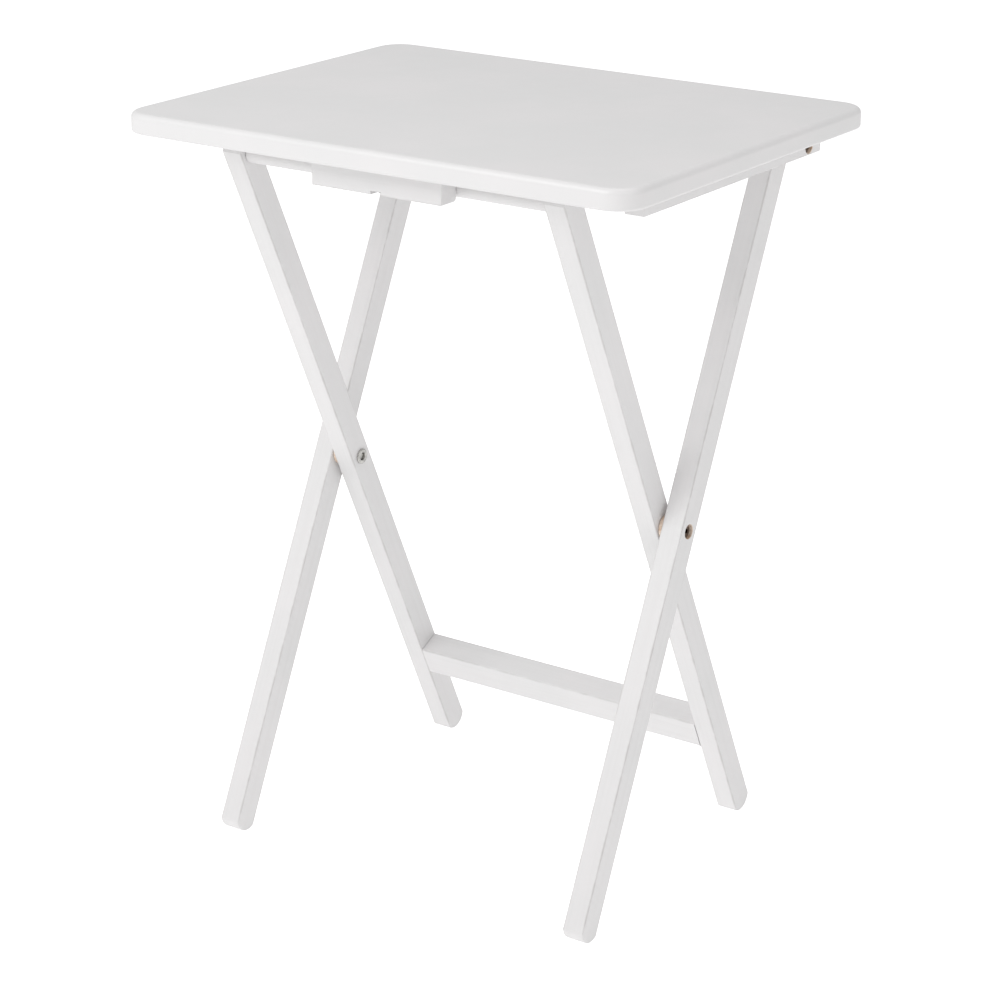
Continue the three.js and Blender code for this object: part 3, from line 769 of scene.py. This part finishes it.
def build_rail_spring():
    """A strip of spring steel: flat in the groove, spun under the rail and up behind it, and a flared lip."""
    low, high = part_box("rail_clip")
    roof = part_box("catch_block")[0].z + GROOVE_DEPTH
    inside = RAIL_RADIUS + CLIP_CLEARANCE
    strip_top = roof - SEAT
    strip_low = strip_top - CLIP_THICKNESS
    outside = inside + CLIP_THICKNESS
    joins = math.asin((RAIL_CENTRE.z - strip_low) / outside)
    bend = RAIL_CENTRE.y - outside * math.cos(joins)
    front = Vector((low.x, low.y, strip_low))
    rear = Vector((high.x, bend - CLIP_THICKNESS, strip_top))
    strip = block("rail_spring", front, rear, SPRING_STEEL)
    pick(strip, "FACE", lambda f: f.normal.y > FACING)
    bpy.ops.mesh.extrude_region_move(TRANSFORM_OT_translate={"value": (0, CLIP_THICKNESS, 0)})
    close_mesh()
    start = RAIL_CENTRE - inside * Vector((0, math.cos(joins), math.sin(joins)))
    pick(strip, "EDGE", lambda e: all(v.co.y > bend - NEAR and v.co.z > strip_top - NEAR for v in e.verts))
    bpy.ops.transform.translate(value=(0, start.y - bend, start.z - strip_top))
    close_mesh()
    pick(strip, "FACE", lambda f: f.calc_center_median().y > bend)
    swept = math.radians(CLIP_WRAP) - joins
    bpy.ops.mesh.spin(steps=SPRING_STEPS, angle=swept, center=RAIL_CENTRE, axis=(-1, 0, 0), dupli=False)
    flare = math.pi + math.radians(CLIP_WRAP) + math.radians(CLIP_LIP_FLARE)
    lip = Vector((0, math.cos(flare), math.sin(flare))) * CLIP_LIP
    bpy.ops.mesh.extrude_region_move(TRANSFORM_OT_translate={"value": lip})
    bpy.ops.mesh.select_all(action="SELECT")
    bpy.ops.mesh.remove_doubles(threshold=MERGE_WITHIN)
    bpy.ops.mesh.normals_make_consistent(inside=False)
    close_mesh()
    block_low, block_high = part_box("catch_block")
    y = (block_low.y + block_high.y) / 2
    hole = screw_hole(strip_low - OVERSHOOT / 2, strip_top + OVERSHOOT / 2, 0, y, SPRING_STEEL)
    cut(strip, [hole])
    stands_for(polished(strip), "rail_clip")

    head = strip_low - SEAT - CLIP_SCREW_HEAD
    stations = [
        (SCREW_HEAD_RADIUS - CLIP_SCREW_ROUND, head),
        (SCREW_HEAD_RADIUS, head + CLIP_SCREW_ROUND),
        (SCREW_HEAD_RADIUS, head + CLIP_SCREW_HEAD),
        (SCREW_RADIUS, head + CLIP_SCREW_HEAD),
        (SCREW_RADIUS, head + CLIP_SCREW_LENGTH - SCREW_TIP),
        (SCREW_RADIUS * BLUNT_TIP, head + CLIP_SCREW_LENGTH),
    ]
    screw = put_at(turned("rail_spring_screw", stations, ZINC_STEEL), (0, y, 0))
    cut(screw, cross_cutter(0, y, head))
    stands_for(polished(screw), "clip_screw")


# ---- Legs, made upright about the crossing ----


def upright(name, low_x, high_x, material):
    """A bar with both ends rounded in side view, and its long arrises taken off."""
    sweep = math.asin(LEG_DEPTH / 2 / LEG_END_RADIUS)
    shoulder = LEG_HALF + LEG_END_RADIUS * math.cos(sweep)
    bar = block(name, (low_x, -LEG_DEPTH / 2, -shoulder), (high_x, LEG_DEPTH / 2, shoulder), material)
    for way in (1, -1):
        pick(bar, "FACE", lambda f: f.normal.z * way > FACING)
        height = shoulder
        half = LEG_DEPTH / 2
        for step in range(1, END_STEPS):
            turn = sweep * (1 - step / END_STEPS)
            next_height = LEG_HALF + LEG_END_RADIUS * math.cos(turn)
            next_half = LEG_END_RADIUS * math.sin(turn)
            rise = way * (next_height - height)
            bpy.ops.mesh.extrude_region_move(TRANSFORM_OT_translate={"value": (0, 0, rise)})
            middle = ((low_x + high_x) / 2, 0, way * next_height)
            bpy.ops.transform.resize(value=(1, next_half / half, 1), center_override=middle)
            height, half = next_height, next_half
        close_mesh()
    open_mesh(bar, "FACE")
    bpy.ops.mesh.select_all(action="SELECT")
    bpy.ops.mesh.dissolve_limited(angle_limit=math.radians(FLAT_WITHIN))
    close_mesh()
    pick(bar, "EDGE", lambda e: abs(e.calc_face_angle() - QUARTER) < math.radians(FLAT_WITHIN))
    round_picked(LEG_ARRIS, ARRIS_STEPS)
    return bar


def trimmed_at_floor(leg):
    """Cuts the foot flat where the leg meets the floor."""
    open_mesh(leg, "FACE")
    bpy.ops.mesh.select_all(action="SELECT")
    bpy.ops.mesh.bisect(plane_co=(0, 0, 0), plane_no=(0, 0, 1), use_fill=True, clear_inner=True)
    close_mesh()
    return leg


def leg_extent(node, side):
    low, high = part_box(node)
    inside = min(abs(low.x), abs(high.x))
    outside = max(abs(low.x), abs(high.x))
    return inside, outside, min(side * inside, side * outside), max(side * inside, side * outside)


def leg_paint(name, low_x, high_x, turn):
    middle = Vector(((low_x + high_x) / 2, CROSSING.y, CROSSING.z))
    return make_bar_paint(name, middle, turn, LEG_WIDTH / 2, LEG_DEPTH / 2)


def nut_bore(side, inside, height):
    """A cutter for a sleeve nut's barrel, from the leg's inner face."""
    deep = side * (inside + NUT_BARREL_LENGTH + SEAT)
    return bore(NUT_BARREL_RADIUS + SEAT, deep, side * inside, 0, height)


def build_outer_leg(label, side):
    inside, outside, low_x, high_x = leg_extent(f"outer_leg_{label}", side)
    paint = leg_paint(f"outer_leg_paint_{label}", low_x, high_x, -TILT)
    leg = upright(f"outer_upright_{label}", low_x, high_x, paint)
    cut(leg, [
        through(BOLT_RADIUS + SEAT, low_x, high_x, 0, 0),
        bore(COUNTERBORE_RADIUS, side * (outside - COUNTERBORE_DEPTH), side * outside, 0, 0),
        through(BOLT_RADIUS + SEAT, low_x, high_x, 0, LEG_HALF),
        nut_bore(side, inside, LEG_HALF),
    ])
    trimmed_at_floor(leaned(leg, -TILT))
    stands_for(polished(leg), f"outer_leg_{label}")


def stretcher_middle():
    return STRETCHER_RISE + STRETCHER_HEIGHT / 2 - LEG_HALF


def dowel_heights():
    return [stretcher_middle() + step * DOWEL_SPACING for step in (-0.5, 0.5)]


def build_inner_leg(label, side):
    inside, _, low_x, high_x = leg_extent(f"inner_leg_{label}", side)
    paint = leg_paint(f"inner_leg_paint_{label}", low_x, high_x, TILT)
    leg = upright(f"inner_upright_{label}", low_x, high_x, paint)
    cutters = [
        through(BOLT_RADIUS + SEAT, low_x, high_x, 0, 0),
        nut_bore(side, inside, 0),
        bore(TENON_RADIUS + SEAT, side * (inside + TENON_LENGTH + SEAT), side * inside, 0, LEG_HALF),
    ]
    for height in dowel_heights():
        deep = side * (inside + DOWEL_IN_LEG + SEAT)
        cutters.append(bore(DOWEL_RADIUS + SEAT, deep, side * inside, 0, height))
    cutters.append(nail_cutter(side * (inside + TENON_LENGTH / 2)))
    cut(leg, cutters)
    trimmed_at_floor(leaned(leg, TILT))
    stands_for(polished(leg), f"inner_leg_{label}")


# ---- The flat cross bar and its dowels ----


def build_cross_bar():
    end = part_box("stretcher")[1].x
    middle = stretcher_middle()
    place = CROSSING + Matrix.Rotation(TILT, 3, "X") @ Vector((0, 0, middle))
    half_height = STRETCHER_HEIGHT / 2
    paint = make_bar_paint("cross_bar_paint", place, TILT, half_height, LEG_DEPTH / 2, (0, QUARTER, 0))
    corner = Vector((end, LEG_DEPTH / 2, half_height))
    centre = Vector((0, 0, middle))
    bar = block("cross_bar", centre - corner, centre + corner, paint)
    pick(bar, "EDGE", lambda e: abs(e.verts[0].co.x - e.verts[1].co.x) > LONG_ENOUGH)
    round_picked(STRETCHER_ARRIS, ARRIS_STEPS)
    cutters = []
    for _, side in SIDES:
        for height in dowel_heights():
            deep = side * (end - DOWEL_IN_STRETCHER - SEAT)
            cutters.append(bore(DOWEL_RADIUS + SEAT, deep, side * end, 0, height))
    cut(bar, cutters)
    stands_for(polished(leaned(bar, TILT)), "stretcher")
    for label, side in SIDES:
        for index, height in enumerate(dowel_heights()):
            node = f"stretcher_pin_{label}_{index + 1}"
            near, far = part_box(node)
            length = far.x - near.x
            stations = [
                (DOWEL_RADIUS - DOWEL_CHAMFER, 0),
                (DOWEL_RADIUS, DOWEL_CHAMFER),
                (DOWEL_RADIUS, length - DOWEL_CHAMFER),
                (DOWEL_RADIUS - DOWEL_CHAMFER, length),
            ]
            dowel = turned(f"cross_bar_dowel_{label}_{index + 1}", stations, RAW_WOOD)
            dowel = leaned(laid_along_x(dowel, 1, (near.x, 0, height)), TILT)
            stands_for(polished(dowel), node)


# ---- The round rail and the nails through its tenons ----


def nail_cutter(x):
    """A fine hole along Y, in from the leg's rear face."""
    depth = NAIL_RECESS + NAIL_LENGTH + SEAT
    cutter = turned("cutter", [(NAIL_RADIUS + SEAT, 0), (NAIL_RADIUS + SEAT, depth + OVERSHOOT)], RAW_WOOD)
    cutter.rotation_euler = (-QUARTER, 0, 0)
    return put_at(cutter, (x, LEG_DEPTH / 2 - depth, LEG_HALF))


def build_rail():
    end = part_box("top_rail")[1].x
    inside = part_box("inner_leg_right")[0].x
    shoulder = inside - SEAT
    stations = [
        (TENON_RADIUS, -end),
        (TENON_RADIUS, -shoulder),
        (RAIL_RADIUS - SEAT, -shoulder),
        (RAIL_RADIUS, -shoulder + SEAT),
        (RAIL_RADIUS, shoulder - SEAT),
        (RAIL_RADIUS - SEAT, shoulder),
        (TENON_RADIUS, shoulder),
        (TENON_RADIUS, end),
    ]
    paint = make_bar_paint("rail_paint", RAIL_CENTRE, 0.0, 1.0, 1.0, (0, QUARTER, 0))
    rail = laid_along_x(turned("round_rail", stations, paint, ROUND_SIDES), 1, (0, 0, LEG_HALF))
    nail_x = inside + TENON_LENGTH / 2
    cut(rail, [nail_cutter(side * nail_x) for _, side in SIDES])
    stands_for(polished(leaned(rail, TILT)), "top_rail")
    for label, side in SIDES:
        stations = [
            (NAIL_RADIUS * BLUNT_TIP, 0),
            (NAIL_RADIUS, NAIL_TIP),
            (NAIL_RADIUS, NAIL_LENGTH),
        ]
        nail = turned(f"rail_nail_{label}", stations, ZINC_STEEL)
        nail.rotation_euler = (-QUARTER, 0, 0)
        put_at(nail, (side * nail_x, LEG_DEPTH / 2 - NAIL_RECESS - NAIL_LENGTH, LEG_HALF))
        stands_for(polished(leaned(nail, TILT)), f"rail_brad_{label}")


# ---- Bolts, sleeve nuts and spacer washers ----


def build_bolt(name, node, side, nut_face, outside, y, z):
    shank = outside - COUNTERBORE_DEPTH + SEAT - nut_face
    head = shank + BOLT_HEAD_HEIGHT
    stations = [
        (BOLT_RADIUS - BOLT_POINT, 0),
        (BOLT_RADIUS, BOLT_POINT),
        (BOLT_RADIUS, shank),
        (BOLT_HEAD_RADIUS, shank),
        (BOLT_HEAD_RADIUS, head - BOLT_HEAD_ROUND),
        (BOLT_HEAD_RADIUS - BOLT_HEAD_ROUND * MID_ROUND, head - BOLT_HEAD_ROUND * MID_ROUND),
        (BOLT_HEAD_RADIUS - BOLT_HEAD_ROUND, head),
    ]
    bolt = turned(name, stations, ZINC_STEEL)
    # the head sits deep in the counterbore and gets the dark brown that partly stands for painted shade there
    bolt.data.materials.append(HEAD_STEEL_AND_SHADE)
    pick(bolt, "FACE", lambda f: f.calc_center_median().z > shank + SEAT)
    bolt.active_material_index = 1
    bpy.ops.object.material_slot_assign()
    close_mesh()
    across = SOCKET_ACROSS / math.sqrt(3)
    corners = [(across, head - SOCKET_DEPTH), (across, head + OVERSHOOT)]
    socket = turned("cutter", corners, HEAD_STEEL_AND_SHADE, HEXAGON)
    cut(bolt, [socket])
    stands_for(polished(laid_along_x(bolt, side, (side * nut_face, y, z))), node)


def build_nut(name, node, side, inside, y, z):
    flange = -SEAT - NUT_FLANGE_THICKNESS
    stations = [
        (NUT_FLANGE_RADIUS - NUT_EDGE, flange),
        (NUT_FLANGE_RADIUS, flange + NUT_EDGE),
        (NUT_FLANGE_RADIUS, -SEAT),
        (NUT_BARREL_RADIUS, -SEAT),
        (NUT_BARREL_RADIUS, NUT_BARREL_LENGTH),
    ]
    nut = turned(name, stations, ZINC_STEEL, ROUND_SIDES)
    wide = BOLT_RADIUS + SEAT
    hole = [(wide + NUT_EDGE, flange - OVERSHOOT), (wide + NUT_EDGE, flange), (wide, flange + NUT_EDGE)]
    hole.append((wide, NUT_BARREL_LENGTH + OVERSHOOT))
    cut(nut, [turned("cutter", hole, ZINC_STEEL)])
    stands_for(polished(laid_along_x(nut, side, (side * inside, y, z))), node)


def build_washer(name, node, side, inside, outside, y, z):
    thick = outside - inside - 2 * SEAT
    stations = [
        (SPACER_RADIUS - SPACER_EDGE, 0),
        (SPACER_RADIUS, SPACER_EDGE),
        (SPACER_RADIUS, thick - SPACER_EDGE),
        (SPACER_RADIUS - SPACER_EDGE, thick),
    ]
    washer = turned(name, stations, RAW_WOOD, ROUND_SIDES)
    wide = BOLT_RADIUS + SEAT
    cut(washer, [turned("cutter", [(wide, -OVERSHOOT), (wide, thick + OVERSHOOT)], RAW_WOOD)])
    stands_for(polished(laid_along_x(washer, side, (side * (inside + SEAT), y, z))), node)


def build_pivots(label, side):
    inner_in, inner_out, _, _ = leg_extent(f"inner_leg_{label}", side)
    outer_in, outer_out, _, _ = leg_extent(f"outer_leg_{label}", side)
    cleat_in, cleat_out, _, _ = leg_extent(f"cleat_{label}", side)
    for name, node, inside, gap_in, gap_out, outside, place in (
        ("crossing", "crossing", inner_in, inner_out, outer_in, outer_out, CROSSING),
        ("top", "top_pivot", outer_in, outer_out, cleat_in, cleat_out, TOP_PIVOT),
    ):
        y, z = place.y, place.z
        build_bolt(f"{name}_cap_bolt_{label}", f"{node}_bolt_{label}", side, inside, outside, y, z)
        build_nut(f"{name}_sleeve_nut_{label}", f"{node}_nut_{label}", side, inside, y, z)
        build_washer(f"{name}_washer_{label}", f"{node}_spacer_{label}", side, gap_in, gap_out, y, z)


# ---- Studio ----

FLOOR_SIZE = 30.0
FLOOR_DROP = 0.0005
FLOOR_SEEN = 0.75
FLOOR_LIGHT = 0.37
WORLD_SEEN = 1.0
WORLD_LIGHT = 0.55
FLOOR_COLOUR = (0.85, 0.85, 0.85, 1)
FLOOR_ROUGHNESS = 0.9
WHITE = (1, 1, 1, 1)

# Each light's name, place, width and power in watts
LIGHTS = (
    ("key_softbox", (-0.65, -1.77, 2.1), 1.6, 25),
    ("side_softbox", (2.1, -0.5, 1.8), 1.6, 6),
    ("overhead_softbox", (0.0, 0.3, 2.8), 1.4, 6),
)


def seen_or_lighting(w, seen, lighting):
    """One strength where it is looked at directly, and another where it lights the table."""
    directly = w.node("ShaderNodeLightPath").outputs["Is Camera Ray"]
    return w.math("ADD", w.math("MULTIPLY", directly, seen - lighting), lighting)


def build_floor():
    deselect()
    bpy.ops.mesh.primitive_plane_add(size=FLOOR_SIZE, location=(0, 0, -FLOOR_DROP))
    floor = bpy.context.object
    floor.name = "floor"
    material = bpy.data.materials.new("pale_floor")
    material.use_nodes = True
    surface = material.node_tree.nodes["Principled BSDF"]
    surface.inputs["Base Color"].default_value = FLOOR_COLOUR
    surface.inputs["Roughness"].default_value = FLOOR_ROUGHNESS
    surface.inputs["Emission Color"].default_value = WHITE
    w = Wiring(material.node_tree)
    w.put(surface.inputs["Emission Strength"], seen_or_lighting(w, FLOOR_SEEN, FLOOR_LIGHT))
    floor.data.materials.append(material)


def build_world():
    world = bpy.data.worlds.new("studio")
    bpy.context.scene.world = world
    world.use_nodes = True
    w = Wiring(world.node_tree)
    backdrop = world.node_tree.nodes["Background"]
    w.put(backdrop.inputs["Strength"], seen_or_lighting(w, WORLD_SEEN, WORLD_LIGHT))
    backdrop.inputs["Color"].default_value = WHITE


def build_light(name, place, aim, width, power):
    data = bpy.data.lights.new(name, "AREA")
    data.shape = "RECTANGLE"
    data.size = data.size_y = width
    data.energy = power
    light = bpy.data.objects.new(name, data)
    light.location = place
    light.rotation_euler = (Vector(aim) - Vector(place)).to_track_quat("-Z", "Y").to_euler()
    bpy.context.scene.collection.objects.link(light)


def build_lights():
    middle = (CAD_BOX[0] + CAD_BOX[1]) / 2
    for name, place, width, power in LIGHTS:
        build_light(name, place, middle, width, power)


build_camera()
build_world()
build_lights()
build_floor()

build_board()
build_stop_block()
build_rail_spring()
build_rail()
build_cross_bar()
for label, side in SIDES:
    build_cleat(label, side)
    build_outer_leg(label, side)
    build_inner_leg(label, side)
    build_pivots(label, side)
build_screws()

bpy.context.scene.view_settings.view_transform = "Standard"
